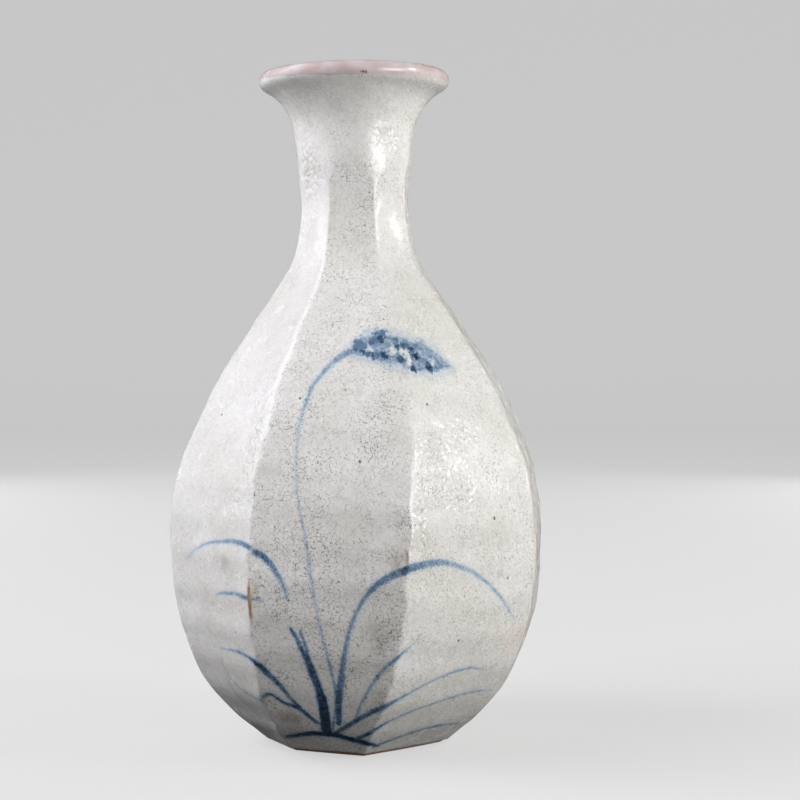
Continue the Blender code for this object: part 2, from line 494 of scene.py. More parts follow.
HEAD = [
    (6, 133.8, 5, 1),
    (12, 134.8, 9, 1),
    (18, 135.3, 12, 1),
    (28, 134, 13, 1),
    (40, 132, 12, 1),
    (46.5, 130.7, 11, 1),
    (53, 129.2, 5, 1),
]
# Dabs in the flower head: (along it, up from its middle line, radius, ink), in millimetres
DABS = [
    (1.6, 0.2, 1.2, 1.0),
    (3.2, 1.6, 2.1, 0.8),
    (4.6, 3.0, 1.0, 0.6),
    (3.6, -0.9, 1.2, 1.15),
    (5.4, -1.8, 1.2, 1.0),
    (7.0, 1.7, 1.3, 0.95),
    (7.3, -2.5, 1.2, 1.1),
    (8.9, 2.9, 1.6, 1.15),
    (9.2, -2.7, 1.1, 0.95),
    (9.4, 4.7, 1.2, 0.85),
    (11.0, 1.0, 1.8, 0.5),
    (11.5, -2.2, 1.3, 1.4),
    (13.4, -2.6, 0.9, 0.75),
    (14.4, 3.6, 1.3, 0.85),
    (15.4, 1.5, 1.1, 1.25),
    (16.4, -2.4, 1.4, 1.1),
    (17.6, 2.4, 1.2, 1.1),
    (19.2, 2.6, 1.2, 0.95),
    (20.5, -4.5, 1.3, 1.3),
    (20.8, 1.6, 1.3, 1.35),
    (22.3, -0.4, 1.2, 1.8),
    (23.0, -4.3, 1.3, 0.7),
    (22.8, 3.1, 1.4, 0.75),
    (25.3, 3.8, 2.2, 0.45),
    (24.8, -1.0, 0.9, 0.85),
    (26.4, -1.6, 1.0, 1.1),
    (26.9, -3.1, 1.3, 1.5),
    (28.0, 2.2, 1.9, 0.45),
    (29.6, -2.4, 1.1, 0.8),
    (30.6, 0.6, 0.9, 0.75),
    (31.6, -1.0, 0.9, 0.8),
]
# Where the glaze shows through its wash: (along it, up from its middle line, radius)
GAPS = [
    (18.0, -0.3, 2.0),
    (13.8, 0.2, 1.4),
    (6.2, -0.1, 1.1),
    (19.0, -2.6, 1.3),
    (28.6, -0.8, 1.0),
]
STROKE_REACH = 6  # how far beyond its edge a stroke's field is worked out
HEAD_REACH = 16
FAR_FROM_STROKE = (0.0, -9.0, 0.0)
FAR_FROM_HEAD = (-90.0, -90.0, -9.0)


def close_to(points, line, reach):
    """Which points are in the box round a line, widened by reach."""
    inside = (points > line.min(axis=0) - reach) & (points < line.max(axis=0) + reach)
    return np.flatnonzero(np.all(inside, axis=1))


def stroke_field(points, stroke):
    """For each point, its place across the stroke, the stroke's half width there and its ink.

    The half width gets less than nothing past the stroke's ends, and in places far from it.
    """
    line = smooth_curve(stroke, 10 * len(stroke))
    centre = on_wall(line[:, 0], line[:, 1]) / MM
    field = np.tile(FAR_FROM_STROKE, (len(points), 1))
    reach = STROKE_REACH + line[:, 2].max()
    near = close_to(points, centre, reach)
    start, step = centre[:-1], np.diff(centre, axis=0)
    along = unit(step)
    across = unit(np.cross(start * [1, 1, 0], along))
    away = points[near, None] - start
    share = np.clip(np.einsum("psk,sk->ps", away, step) / (step**2).sum(axis=1), 0, 1)
    distance = np.linalg.norm(away - share[..., None] * step, axis=-1)
    best = distance.argmin(axis=1)
    rows = np.arange(len(near))
    place = best + share[rows, best]
    gap = points[near] - start[best]
    side = np.einsum("pk,pk->p", gap, across[best])
    past_start = -np.einsum("pk,pk->p", gap, along[best]) * (best == 0)
    past_end = np.einsum("pk,pk->p", gap - step[best], along[best]) * (best == len(step) - 1)
    past = np.maximum(np.maximum(past_end, past_start), 0)
    width = np.interp(place, np.arange(len(line)), line[:, 2])
    ink = np.interp(place, np.arange(len(line)), line[:, 3])
    kept = distance[rows, best] < reach
    field[near[kept]] = np.column_stack([side, width / 2 - past, ink])[kept]
    return field


def head_field(points):
    """Each point's place along and across the flower head, and the head's half width there."""
    line = smooth_curve(HEAD, 200)
    centre = on_wall(line[:, 0], line[:, 1]) / MM
    length = np.concatenate([[0], np.cumsum(np.linalg.norm(np.diff(centre, axis=0), axis=1))])
    field = np.tile(FAR_FROM_HEAD, (len(points), 1))
    near = close_to(points, centre, HEAD_REACH)
    best = np.linalg.norm(points[near, None] - centre, axis=-1).argmin(axis=1)
    along = unit(np.gradient(centre, axis=0))
    across = unit(np.cross(centre * [1, 1, 0], along))
    away = points[near] - centre[best]
    lengthwise = length[best] + np.einsum("pk,pk->p", away, along[best])
    side = np.einsum("pk,pk->p", away, across[best])
    past = np.maximum(np.maximum(-lengthwise, lengthwise - length[-1]), 0)
    field[near] = np.column_stack([lengthwise, side, line[best, 2] / 2 - past])
    return field


# Stains in the glaze: (azimuth, height, half width, half height, kind, strength)
RUST, OCHRE, SMOKE, BLUSH = range(4)
STAINS = [
    (-23.4, 55, 0.85, 7.5, RUST, 1.35),
    (-23.6, 44, 0.7, 4.0, RUST, 0.6),
    (-24, 33, 0.7, 5.0, RUST, 0.45),
    (-13.4, 52.4, 1.1, 1.3, RUST, 0.75),
    (22.6, 70, 0.9, 5.5, RUST, 0.7),
    (21, 47, 0.8, 8.0, RUST, 0.45),
    (19.6, 29, 0.8, 4.0, RUST, 0.6),
    (-21.8, 58, 2.6, 8.0, OCHRE, 0.7),
    (-18.5, 63, 4.0, 4.5, OCHRE, 0.5),
    (-23, 21, 2.5, 2.5, OCHRE, 0.6),
    (-18, 104, 3.5, 14.0, OCHRE, 0.25),
    (24, 197, 3.0, 2.5, OCHRE, 0.45),
    (16, 43, 6.5, 13.0, SMOKE, 0.85),
    (16, 24, 6.5, 11.0, SMOKE, 0.7),
    (20, 69, 4.0, 8.0, SMOKE, 0.8),
    (-35.5, 66.5, 3.6, 3.4, SMOKE, 0.85),
    (-17, 50, 7.0, 4.0, SMOKE, 0.5),
    (-20, 15, 7.0, 5.0, SMOKE, 1.1),
    (-45, 21, 8.0, 8.0, SMOKE, 0.5),
    (8, 204, 6.0, 3.0, SMOKE, 0.4),
    (0, 12, 26.0, 6.0, SMOKE, 0.45),
    (72, 39, 12.0, 12.0, BLUSH, 0.65),
    (73, 71, 2.0, 18.0, BLUSH, 0.8),
    (60, 21, 12.0, 8.0, BLUSH, 0.4),
    (27.5, 198, 2.0, 2.5, BLUSH, 0.7),
]
# Where the glaze crawled into beads: (azimuth, height, half width, half height, strength)
BEADED = [
    (33, 96, 8, 11, 1.0),
    (42, 90, 8, 8, 0.9),
    (27, 84, 3, 22, 0.8),
    (48, 104, 12, 14, 0.6),
    (-27, 106, 5, 24, 0.8),
    (-31, 88, 5, 12, 0.5),
    (-45, 196, 8, 12, 0.8),
    (45, 205, 8, 6, 0.7),
    (-20, 65, 5, 8, 0.6),
    (20, 26, 3, 8, 0.4),
]
# The crackle is real, but its darkness per facet is painted light and shade: faint on the brightly lit left
# facet, darkest on the dimmer front one.
CRACKLE_WITH_PAINTED_LIGHT = [0.95, 0.66, 0.6, 0.6, 0.6, 0.6, 0.6, 0.38]  # how dark the crackle is on each facet
# Dark specks of iron: (azimuth, height, radius)
SPECKS = [
    (9.4, 99.5, 0.5),
    (56, 80, 0.6),
    (-32, 44, 0.45),
    (-13, 119, 0.4),
    (35, 117, 0.45),
    (3, 62, 0.35),
    (11.5, 24, 0.45),
    (44, 41, 0.4),
    (-52, 113, 0.4),
    (24.5, 187, 0.3),
    (62, 60, 0.4),
    (-3, 172, 0.3),
    (140, 90, 0.5),
    (188, 62, 0.5),
    (231, 118, 0.45),
    (262, 41, 0.5),
]
# Chips in the lip's glaze: (azimuth, height, radius)
CHIPS = [
    (12.9, 225.1, 0.4),
    (14.4, 225, 0.5),
    (16, 225, 0.45),
    (50, 225.6, 0.35),
    (57, 225.2, 0.3),
    (-150, 226.3, 0.7),
]
LIP_LEVEL = 223  # a mark above this is on the lip
MARKED_LIP_RADIUS = 32
ABOVE_CUTS_CRACKLE = 0.5
LINING_CRACKLE = 0.6


def nearness(points, azimuth, height, half_width, half_height):
    """1 at a place on the wall, falling off over an upright oval round it."""
    centre = on_wall(np.array([azimuth]), np.array([height]))[0] / MM
    turn = math.radians(azimuth)
    away = points - centre
    sideways = away @ np.array([math.cos(turn), math.sin(turn), 0])
    depth = away @ np.array([math.sin(turn), -math.cos(turn), 0])
    upright = np.hypot(away[:, 2], depth)
    return np.exp(-((sideways / half_width) ** 2) - (upright / half_height) ** 2) * (depth > -25)


def stain_shares(points):
    """How strongly each kind of stain shows at each point."""
    shares = np.zeros((len(points), 4))
    for azimuth, height, half_width, half_height, kind, strength in STAINS:
        near = nearness(points, azimuth, height, half_width, half_height) * strength
        shares[:, kind] = np.maximum(shares[:, kind], near)
    return shares


def coat_field(points, facet):
    """How beaded the glaze is at each point, how dark its crackle, and how grooved by the knife."""
    beaded = np.zeros(len(points))
    for azimuth, height, half_width, half_height, strength in BEADED:
        near = nearness(points, azimuth, height, half_width, half_height) * strength
        beaded = np.maximum(beaded, near)
    # Crackle darkness by facet, with painted light and shade in it.
    crackle = np.array(CRACKLE_WITH_PAINTED_LIGHT)[facet]
    above_cuts = np.clip((points[:, 2] - 196) / 8, 0, 1)
    crackle = crackle * np.interp(points[:, 2], [100, 130], [1, 0.8])
    crackle = crackle + (ABOVE_CUTS_CRACKLE - crackle) * above_cuts
    grooved = (facet == 2) * (1 - above_cuts)
    return np.column_stack([beaded, crackle, grooved])


# Shader graphs


class Graph:
    """Adds nodes to a node tree. A value is a number, a tuple or another node's socket."""

    def __init__(self, tree):
        self.tree = tree
        tree.nodes.clear()

    def put(self, value, socket):
        if isinstance(value, bpy.types.NodeSocket):
            self.tree.links.new(value, socket)
        else:
            socket.default_value = value

    def add(self, kind, inputs=None, **settings):
        node = self.tree.nodes.new(kind)
        for key, value in settings.items():
            setattr(node, key, value)
        for key, value in (inputs or {}).items():
            self.put(value, node.inputs[key])
        return node

    def math(self, operation, *values):
        return self.add("ShaderNodeMath", dict(enumerate(values)), operation=operation).outputs[0]

    def vector(self, operation, a, b):
        node = self.add("ShaderNodeVectorMath", {0: a, 1: b}, operation=operation)
        return node.outputs["Value" if operation == "DISTANCE" else "Vector"]

    def scaled(self, vector, factor):
        inputs = {0: vector, "Scale": factor}
        return self.add("ShaderNodeVectorMath", inputs, operation="SCALE").outputs["Vector"]

    def split(self, vector):
        return self.add("ShaderNodeSeparateXYZ", {0: vector}).outputs

    def smooth(self, value, start, end, low=0.0, high=1.0):
        """low where value is at start, high where it is at end, and smooth between."""
        inputs = {"Value": value, "From Min": start, "From Max": end, "To Min": low, "To Max": high}
        return self.add("ShaderNodeMapRange", inputs, interpolation_type="SMOOTHSTEP").outputs[0]

    def noise(self, place, size, detail=2.0, output="Fac"):
        """Noise from 0 to 1, whose lumps are about size metres."""
        inputs = {"Vector": place, "Scale": 1 / size, "Detail": detail}
        return self.add("ShaderNodeTexNoise", inputs).outputs[output]

    def voronoi(self, place, size, feature="F1", output="Distance"):
        """Cells about size metres across."""
        inputs = {"Vector": place, "Scale": 1 / size}
        return self.add("ShaderNodeTexVoronoi", inputs, feature=feature).outputs[output]

    def mix(self, share, a, b, blend="MIX"):
        inputs = {0: share, 6: a, 7: b}
        return self.add("ShaderNodeMix", inputs, data_type="RGBA", blend_type=blend).outputs[2]

    def attribute(self, name, output="Vector"):
        return self.add("ShaderNodeAttribute", attribute_name=name).outputs[output]

    def moved(self, place, size, distance):
        """The place shifted by noise, for edges that wander."""
        shift = self.vector("SUBTRACT", self.noise(place, size, 2.0, "Color"), (0.5, 0.5, 0.5))
        return self.vector("ADD", place, self.scaled(shift, distance))


def color(red, green, blue):
    return (red, green, blue, 1.0)


def brush_group():
    """Ink of one stroke, from its field and two noises: uneven edges, and a faint bleed beside them."""
    group = bpy.data.node_groups.new("brush_stroke", "ShaderNodeTree")
    group.interface.new_socket("Field", in_out="INPUT", socket_type="NodeSocketVector")
    for name, side in (("Edge", "INPUT"), ("Load", "INPUT"), ("Ink", "OUTPUT")):
        group.interface.new_socket(name, in_out=side, socket_type="NodeSocketFloat")
    g = Graph(group)
    given = g.add("NodeGroupInput").outputs
    field = g.split(given["Field"])
    inside = g.math("ADD", g.math("SUBTRACT", field[1], g.math("ABSOLUTE", field[0])), given["Edge"])
    body = g.smooth(inside, -0.6, 0.75)
    bleed = g.smooth(inside, -1.4, 0.2, 0.0, 0.16)
    ink = g.math("MULTIPLY", g.math("MAXIMUM", body, bleed), field[2])
    g.add("NodeGroupOutput", {"Ink": g.math("MULTIPLY", ink, given["Load"])})
    return group


def strokes_ink(g, place):
    edge = g.math("MULTIPLY_ADD", g.noise(place, 1.1 * MM, 3.0), 0.9, -0.45)
    load = g.smooth(g.noise(place, 2.6 * MM, 3.0), 0.25, 0.75, 0.72, 1.2)
    grain = g.smooth(g.noise(place, 0.6 * MM, 2.0), 0.3, 0.7, 0.75, 1.2)
    load = g.math("MULTIPLY", load, grain)
    group = brush_group()
    total = None
    for name in STROKES:
        node = g.add("ShaderNodeGroup", node_tree=group)
        for key, value in {"Field": g.attribute(name), "Edge": edge, "Load": load}.items():
            g.put(value, node.inputs[key])
        ink = node.outputs[0]
        total = ink if total is None else g.math("MAXIMUM", total, ink)
    return total


def head_ink(g, place):
    """The flower head: a pale wash with gaps, and darker dabs that run into each other."""
    head = g.attribute("flower_head")
    shift = g.vector("SUBTRACT", g.noise(place, 1.5 * MM, 3.0, "Color"), (0.5, 0.5, 0.5))
    ragged = g.vector("MULTIPLY", g.vector("ADD", head, g.scaled(shift, 4.5)), (1, 1, 0))
    field = g.split(head)
    above = g.math("SUBTRACT", field[2], g.math("ABSOLUTE", field[1]))
    wander = g.math("MULTIPLY_ADD", g.noise(place, 3.5 * MM, 3.0), 3.0, -1.5)
    inside = g.math("ADD", above, wander)
    wash = g.math("ADD", g.smooth(inside, -2.2, 1.2, 0.0, 0.14), g.smooth(inside, 0.9, 3.0, 0.0, 0.34))
    mottle = g.smooth(g.noise(place, 1.2 * MM, 3.0), 0.3, 0.7, 0.6, 1.5)
    wash = g.math("MULTIPLY", wash, mottle)
    for along, across, radius in GAPS:
        away = g.vector("DISTANCE", ragged, (along, across, 0))
        wash = g.math("MULTIPLY", wash, g.smooth(away, radius - 1.0, radius + 0.6))
    for along, across, radius, ink in DABS:
        away = g.vector("DISTANCE", ragged, (along, across, 0))
        wash = g.math("MAXIMUM", wash, g.smooth(away, radius + 1.0, radius - 1.0, 0.0, ink))
    return wash


FULL_INK = 1.6  # ink of the darkest cobalt
# What the cobalt leaves of the colour under it, as the ink goes from none to full
COBALT = [
    (0.0, (1, 1, 1)),
    (0.1, (0.77, 0.855, 0.96)),
    (0.25, (0.45, 0.585, 0.77)),
    (0.45, (0.19, 0.31, 0.49)),
    (0.68, (0.06, 0.125, 0.235)),
    (1.0, (0.016, 0.036, 0.085)),
]


def painted(g, base, place):
    """The base colour under cobalt: strokes and flower head darken it from pale to deep blue."""
    ink = g.math("MAXIMUM", strokes_ink(g, place), head_ink(g, place))
    tint = g.add("ShaderNodeValToRGB", {0: g.math("DIVIDE", ink, FULL_INK)}).outputs[0]
    ramp = tint.node.color_ramp
    while len(ramp.elements) < len(COBALT):
        ramp.elements.new(0.5)
    for element, (position, shade) in zip(ramp.elements, COBALT):
        element.position = position
        element.color = color(*shade)
    return g.mix(1.0, base, tint, "MULTIPLY")


STAIN_START = 0.3  # strength at which a stain begins to show
# Each kind of stain: its colour, and the strength at which it is all that shows
STAIN_SHADES = {
    RUST: (color(0.34, 0.215, 0.145), 0.9),
    OCHRE: (color(0.62, 0.58, 0.42), 1.1),
    SMOKE: (color(0.37, 0.325, 0.315), 1.5),
    BLUSH: (color(0.70, 0.57, 0.48), 1.1),
}


def stained(g, base, place):
    """The base colour under each kind of stain, with patchy edges."""
    first_three = g.add("ShaderNodeSeparateColor", {0: g.attribute("stains", "Color")}).outputs
    strengths = [*first_three, g.attribute("stains", "Alpha")]
    patchy = g.math("MULTIPLY_ADD", g.noise(place, 2.5 * MM, 4.0), 0.8, -0.4)
    for kind, (shade, full) in STAIN_SHADES.items():
        ragged = g.math("MULTIPLY", patchy, g.smooth(strengths[kind], 0.0, 0.3))
        share = g.math("ADD", ragged, strengths[kind])
        base = g.mix(g.smooth(share, STAIN_START, full), base, shade)
    return base


def spots(g, place, marks):
    """How near the place is to any of the marks, with uneven edges."""
    ragged = g.moved(place, 0.8 * MM, 0.8 * MM)
    total = None
    for azimuth, height, radius in marks:
        thrown = np.interp(height, WALL[:, 1], WALL[:, 0]) if height < LIP_LEVEL else MARKED_LIP_RADIUS
        centre = placed(azimuth, thrown * cut_share(azimuth, height), height)
        away = g.vector("DISTANCE", ragged, tuple(centre))
        spot = g.smooth(away, (radius + 0.25) * MM, (radius - 0.25) * MM)
        total = spot if total is None else g.math("MAXIMUM", total, spot)
    return total


def crackle(g, place, darkness):
    """Broken lines of the crazed glaze and pits among them, from 0 to 1."""
    bent = g.moved(place, 2.5 * MM, 1.6 * MM)
    edges = g.voronoi(bent, 1.5 * MM, "DISTANCE_TO_EDGE")
    line = g.smooth(edges, 0.12, 0.03)
    dashes = g.smooth(g.noise(place, 0.55 * MM, 1.0), 0.5, 0.66, 0.14, 1.0)
    wide = g.smooth(g.voronoi(bent, 4.2 * MM, "DISTANCE_TO_EDGE"), 0.035, 0.012)
    wide = g.math("MULTIPLY", wide, g.smooth(g.noise(place, 2.2 * MM, 2.0), 0.5, 0.6, 0.0, 0.5))
    dots = g.smooth(g.voronoi(bent, 1.2 * MM), 0.3, 0.1)
    chosen = g.add("ShaderNodeSeparateColor", {0: g.voronoi(bent, 1.2 * MM, output="Color")}).outputs[0]
    pits = g.math("MULTIPLY", dots, g.smooth(chosen, 0.8, 0.9))
    marks = g.math("MAXIMUM", g.math("MAXIMUM", g.math("MULTIPLY", line, dashes), wide), pits)
    dirt = g.smooth(g.noise(place, 9 * MM, 3.0), 0.3, 0.7, 0.35, 1.0)
    return g.math("MULTIPLY", g.math("MULTIPLY", marks, dirt), darkness)


def rim_share(g, place):
    """1 over the lip, where the clay blushes through thin glaze, and a fine line along the edge of that.

    The edge is lower at the front, hard at its left and soft at its right.
    """
    x, y, height = g.split(place)
    across = g.math("DIVIDE", x, 32 * MM)
    level = g.math("MULTIPLY_ADD", across, 0.65 * MM, height)
    level = g.math("MULTIPLY_ADD", g.math("MULTIPLY", across, across), -1.05 * MM, level)
    level = g.math("MULTIPLY_ADD", g.noise(place, 6 * MM, 3.0), 0.8 * MM, level)
    hard = g.smooth(level, 224.6 * MM, 225.3 * MM)
    soft = g.smooth(level, 224.2 * MM, 225.9 * MM)
    to_right = g.smooth(x, 2 * MM, 9 * MM)
    to_left = g.math("SUBTRACT", 1.0, to_right)
    from_edge = g.math("ABSOLUTE", g.math("SUBTRACT", level, 224.75 * MM))
    line = g.math("MULTIPLY", g.smooth(from_edge, 0.4 * MM, 0.1 * MM), to_left)
    share = g.math("ADD", g.math("MULTIPLY", soft, to_right), g.math("MULTIPLY", hard, to_left))
    return share, line


def cloudy_white(g, place):
    """The glaze's own colour: white, greyer in clouds and where it is thin."""
    clouds = g.smooth(g.noise(place, 26 * MM, 3.0), 0.35, 0.65)
    base = g.mix(clouds, color(0.78, 0.772, 0.755), color(0.72, 0.71, 0.675))
    thin = g.smooth(g.noise(place, 6 * MM, 4.0), 0.45, 0.75, 0.0, 0.35)
    base = g.mix(thin, base, color(0.60, 0.58, 0.55))
    mottle = g.smooth(g.noise(place, 1.6 * MM, 2.0), 0.35, 0.7, 0.0, 0.22)
    return g.mix(mottle, base, color(0.52, 0.50, 0.47))


def blushing(g, base, place, rim, line):
    """The base colour with the lip's pink over it, and the line along the pink's edge."""
    patches = g.smooth(g.noise(place, 6 * MM, 3.0), 0.3, 0.7)
    pink = g.mix(patches, color(0.54, 0.42, 0.40), color(0.64, 0.57, 0.585))
    base = g.mix(rim, base, pink)
    return g.mix(g.math("MULTIPLY", line, 0.35), base, color(0.25, 0.22, 0.2))


def skin_height(g, place, swell, marks, strength):
    """Relief that every coat has: orange peel, slow swells and sunk crackle."""
    peel = g.noise(place, 1.7 * MM, 1.0)
    fine = g.noise(place, 0.9 * MM, 1.0)
    height = g.math("MULTIPLY", g.math("MULTIPLY_ADD", fine, 0.35, peel), strength)
    height = g.math("MULTIPLY_ADD", swell, 0.6, height)
    return g.math("SUBTRACT", height, g.math("MULTIPLY", marks, 0.35))


def beads_and_grooves(g, height, place, beaded, grooved):
    """The height with round beads where the glaze crawled, and with upright grooves from the knife."""
    cells = g.voronoi(g.moved(place, 1.6 * MM, 1.6 * MM), 2.1 * MM)
    drop = g.smooth(beaded, 0.15, 0.9, 0.0, -3.0)
    height = g.math("ADD", height, g.math("MULTIPLY", g.math("MULTIPLY", cells, cells), drop))
    stretched = g.vector("MULTIPLY", place, (1, 1, 0.04))
    depth = g.math("MULTIPLY", grooved, 1.6)
    return g.math("ADD", height, g.math("MULTIPLY", g.noise(stretched, 1.8 * MM, 2.0), depth))


def glaze(name, outside):
    """Crackled white glaze, pinkish and thin over the lip. On the outside it is painted and beaded too."""
    made = bpy.data.materials.new(name)
    made.use_nodes = True
    g = Graph(made.node_tree)
    place = g.add("ShaderNodeTexCoord").outputs["Object"]
    base = cloudy_white(g, place)
    roughness = g.smooth(g.noise(place, 5 * MM, 3.0), 0.3, 0.7, 0.12, 0.28)
    darkness, strength, spotted = LINING_CRACKLE, 0.4, CHIPS
    if outside:
        # The coat's darkness carries the crackle's painted light and shade by facet.
        beaded, darkness, grooved = g.split(g.attribute("coat"))
        base = stained(g, painted(g, base, place), place)
        roughness = g.math("MULTIPLY", roughness, g.smooth(beaded, 0.1, 0.7, 1.0, 0.5))
        strength = g.math("MULTIPLY_ADD", g.smooth(beaded, 0.0, 1.0), 0.9, 0.4)
        spotted = SPECKS + CHIPS
    marks = crackle(g, place, darkness)
    base = g.mix(marks, base, color(0.13, 0.11, 0.10))
    rim, line = rim_share(g, place)
    base = blushing(g, base, place, rim, line)
    base = g.mix(spots(g, place, spotted), base, color(0.12, 0.08, 0.05))
    swell = g.noise(place, 4.5 * MM, 2.0)
    height = skin_height(g, place, swell, marks, strength)
    if outside:
        height = beads_and_grooves(g, height, place, beaded, grooved)
    rough = g.add("ShaderNodeBump", {"Height": height, "Strength": 1.0, "Distance": 0.2 * MM}).outputs[0]
    calm = g.add("ShaderNodeBump", {"Height": swell, "Strength": 0.5, "Distance": 0.12 * MM}).outputs[0]
    normal = g.add("ShaderNodeMix", {0: rim, 4: rough, 5: calm}, data_type="VECTOR").outputs[1]
    inputs = {"Base Color": base, "Roughness": roughness, "IOR": 1.52, "Normal": normal}
    shader = g.add("ShaderNodeBsdfPrincipled", inputs)
    g.add("ShaderNodeOutputMaterial", {"Surface": shader.outputs[0]})
    return made


def fired_clay():
    """Bare iron-bearing clay: brown, sandy and dull."""
    made = bpy.data.materials.new("fired_clay")
    made.use_nodes = True
    g = Graph(made.node_tree)
    place = g.add("ShaderNodeTexCoord").outputs["Object"]
    tone = g.mix(g.noise(place, 8 * MM, 4.0), color(0.30, 0.15, 0.08), color(0.46, 0.30, 0.18))
    grit = g.smooth(g.voronoi(place, 1.2 * MM), 0.35, 0.2, 0.0, 0.6)
    tone = g.mix(grit, tone, color(0.14, 0.09, 0.06))
    sand = g.math("ADD", g.noise(place, 0.9 * MM, 4.0), g.noise(place, 3 * MM, 2.0))
    bump = g.add("ShaderNodeBump", {"Height": sand, "Strength": 0.7, "Distance": 0.2 * MM})
    inputs = {
        "Base Color": tone,
        "Roughness": g.smooth(g.noise(place, 4 * MM, 2.0), 0.3, 0.7, 0.75, 0.92),
        "Normal": bump.outputs[0],
    }
    shader = g.add("ShaderNodeBsdfPrincipled", inputs)
    g.add("ShaderNodeOutputMaterial", {"Surface": shader.outputs[0]})
    return made


# The pieces


def lumps(points):
    """Unevenness of the outer glaze at each point, in millimetres: slow lumps and quick ones on them."""
    total = np.zeros(points.size // 3)
    for size, height in ((11, 0.11), (4.5, 0.07)):
        total += height * np.array([noise.noise(Vector(p) / (size * MM)) for p in points.reshape(-1, 3)])
    return total.reshape(points.shape[:-1])


def make_outside():
    """The outer glaze: a closed shell from just over the table to the lip."""
    facet, share = columns()
    turn = (facet + share) * math.tau / len(RIDGES)
    ragged = np.array([noise.noise(Vector((math.sin(a) * 3, math.cos(a) * 3, 7))) for a in turn])
    length = np.concatenate([[0], np.cumsum(np.linalg.norm(np.diff(WALL, axis=0), axis=1))])
    edge = GLAZE_EDGE + 0.7 * ragged
    steps = np.append(np.linspace(0, 1, OUTER_ROWS - 1), 1)
    steps[-2] = 1 - EDGE_STEP / OUTER_ROWS
    place = edge + (length[-1] - edge) * steps[:, None]
    radius = np.interp(place, length, WALL[:, 0])
    height = np.interp(place, length, WALL[:, 1])
    azimuth = azimuths(height, facet, share)
    face = placed(azimuth, wall_radius(azimuth, height, radius), height)
    normal = grid_normals(face)
    near_edge = np.clip(1 - (place - edge) / EDGE_ROUND, 0, 1)
    thinning = GLAZE * 0.8 * (1 - np.sqrt(1 - near_edge**2))
    calm = np.clip((length[-1] - place) / 6, 0, 1)
    outside = face + normal * (lumps(face) * calm - thinning)[..., None] * MM
    picked = np.linspace(OUTER_ROWS - 1, 0, BACK_ROWS).round().astype(int)
    back = face - normal * GLAZE * MM
    piece = grid_mesh("glazed_outside", np.concatenate([outside, back[picked]]), closed=True)
    points = np.concatenate([face, face[picked]]).reshape(-1, 3) / MM
    for name, stroke in STROKES.items():
        put_vectors(piece, name, stroke_field(points, stroke))
    put_vectors(piece, "flower_head", head_field(points))
    put_vectors(piece, "coat", coat_field(points, np.tile(facet, OUTER_ROWS + BACK_ROWS)))
    put_colors(piece, "stains", stain_shares(points))
    attach(piece, "outer_glaze", glaze("crackle_glaze_painted", outside=True))


def turned_rows(path, thinning=1):
    """Rows of points where the path is turned about the axis, with columns at the lip's azimuths."""
    azimuth = azimuths(np.full((1, len(columns(thinning)[0])), HEIGHT), *columns(thinning))
    ones = np.ones_like(azimuth)
    return placed(azimuth * np.ones((len(path), 1)), path[:, :1] * ones, path[:, 1:] * ones)


def make_lip():
    """The lip's coat: a closed ring over the mouth's edge."""
    face = edged(resampled(SKIN[LIP_START : LIP_END + 1], LIP_ROWS))
    back = offset(face, GLAZE)[::-1]
    piece = grid_mesh("glazed_lip", turned_rows(np.vstack([face, back])), closed=True)
    attach(piece, "lip_glaze", glaze("crackle_glaze_lip", outside=False))


def make_inside():
    """The lining: from the lip down the neck to the middle of the bottle's floor."""
    face = resampled(SKIN[LIP_END:-8], LINING_ROWS)
    back = offset(face, GLAZE)[:-1][::-1]
    path = np.vstack([back, face])
    piece = grid_mesh("glazed_inside", turned_rows(path, 2), closed=False)
    attach(piece, "inner_glaze", glaze("crackle_glaze_inside", outside=False))


def make_clay():
    """The clay: its foot and recess, its faceted outside under the glaze, and its inside."""
    facet, share = columns()
    under = offset(WALL, GLAZE + CLAY_GAP)
    outside = resampled(under[under[:, 1] > 0.4], CLAY_ROWS)
    ones = np.ones((1, len(facet)))
    height = outside[:, 1:] * ones
    azimuth = azimuths(height, facet, share)
    wall = placed(azimuth, wall_radius(azimuth, height, outside[:, :1]), height)
    foot = wall[:1] * [FOOT_BEVEL, FOOT_BEVEL, 0]
    recess = turned_rows(resampled(np.array(FOOT_RECESS, float), RECESS_ROWS))
    over = turned_rows(resampled(offset(SKIN, GLAZE + CLAY_GAP)[LIP_START:-8], CLAY_INNER_ROWS))
    piece = grid_mesh("fired_clay", np.concatenate([recess, foot, wall, over]), closed=False)
    attach(piece, "clay_body", fired_clay())


# Studio


def aim(item, target):
    item.rotation_euler = (Vector(target) - item.location).to_track_quat("-Z", "Y").to_euler()


def around(azimuth, distance, height):
    """A place at an azimuth from where the camera stands, and a distance from the axis."""
    turn = math.radians(azimuth + CAMERA_AZIMUTH)
    return Vector((math.sin(turn) * distance, -math.cos(turn) * distance, height))


def softbox(name, azimuth, elevation, distance, width, tall, radiance, shade, gloss=True, height=0.1):
    """A rectangular lamp that faces the bottle's axis at a height. Without gloss it leaves no highlight."""
    lamp = bpy.data.lights.new(name, "AREA")
    lamp.shape = "RECTANGLE"
    lamp.size = width
    lamp.size_y = tall
    lamp.energy = radiance * math.pi * width * tall
    lamp.color = shade
    item = bpy.data.objects.new(name, lamp)
    bpy.context.scene.collection.objects.link(item)
    rise = math.radians(elevation)
    item.location = around(azimuth, distance * math.cos(rise), height + distance * math.sin(rise))
    item.visible_camera = False
    item.visible_glossy = gloss
    aim(item, (0, 0, height))
    return lamp


def make_world():
    """A dim, even sky over a dark ground."""
    world = bpy.data.worlds.new("studio")
    bpy.context.scene.world = world
    world.use_nodes = True
    g = Graph(world.node_tree)
    direction = g.split(g.add("ShaderNodeTexCoord").outputs["Generated"])
    strength = g.smooth(direction[2], -0.15, 0.35, 0.01, 0.05)
    background = g.add("ShaderNodeBackground", {"Color": color(0.97, 0.98, 1.0), "Strength": strength})
    g.add("ShaderNodeOutputWorld", {"Surface": background.outputs[0]})


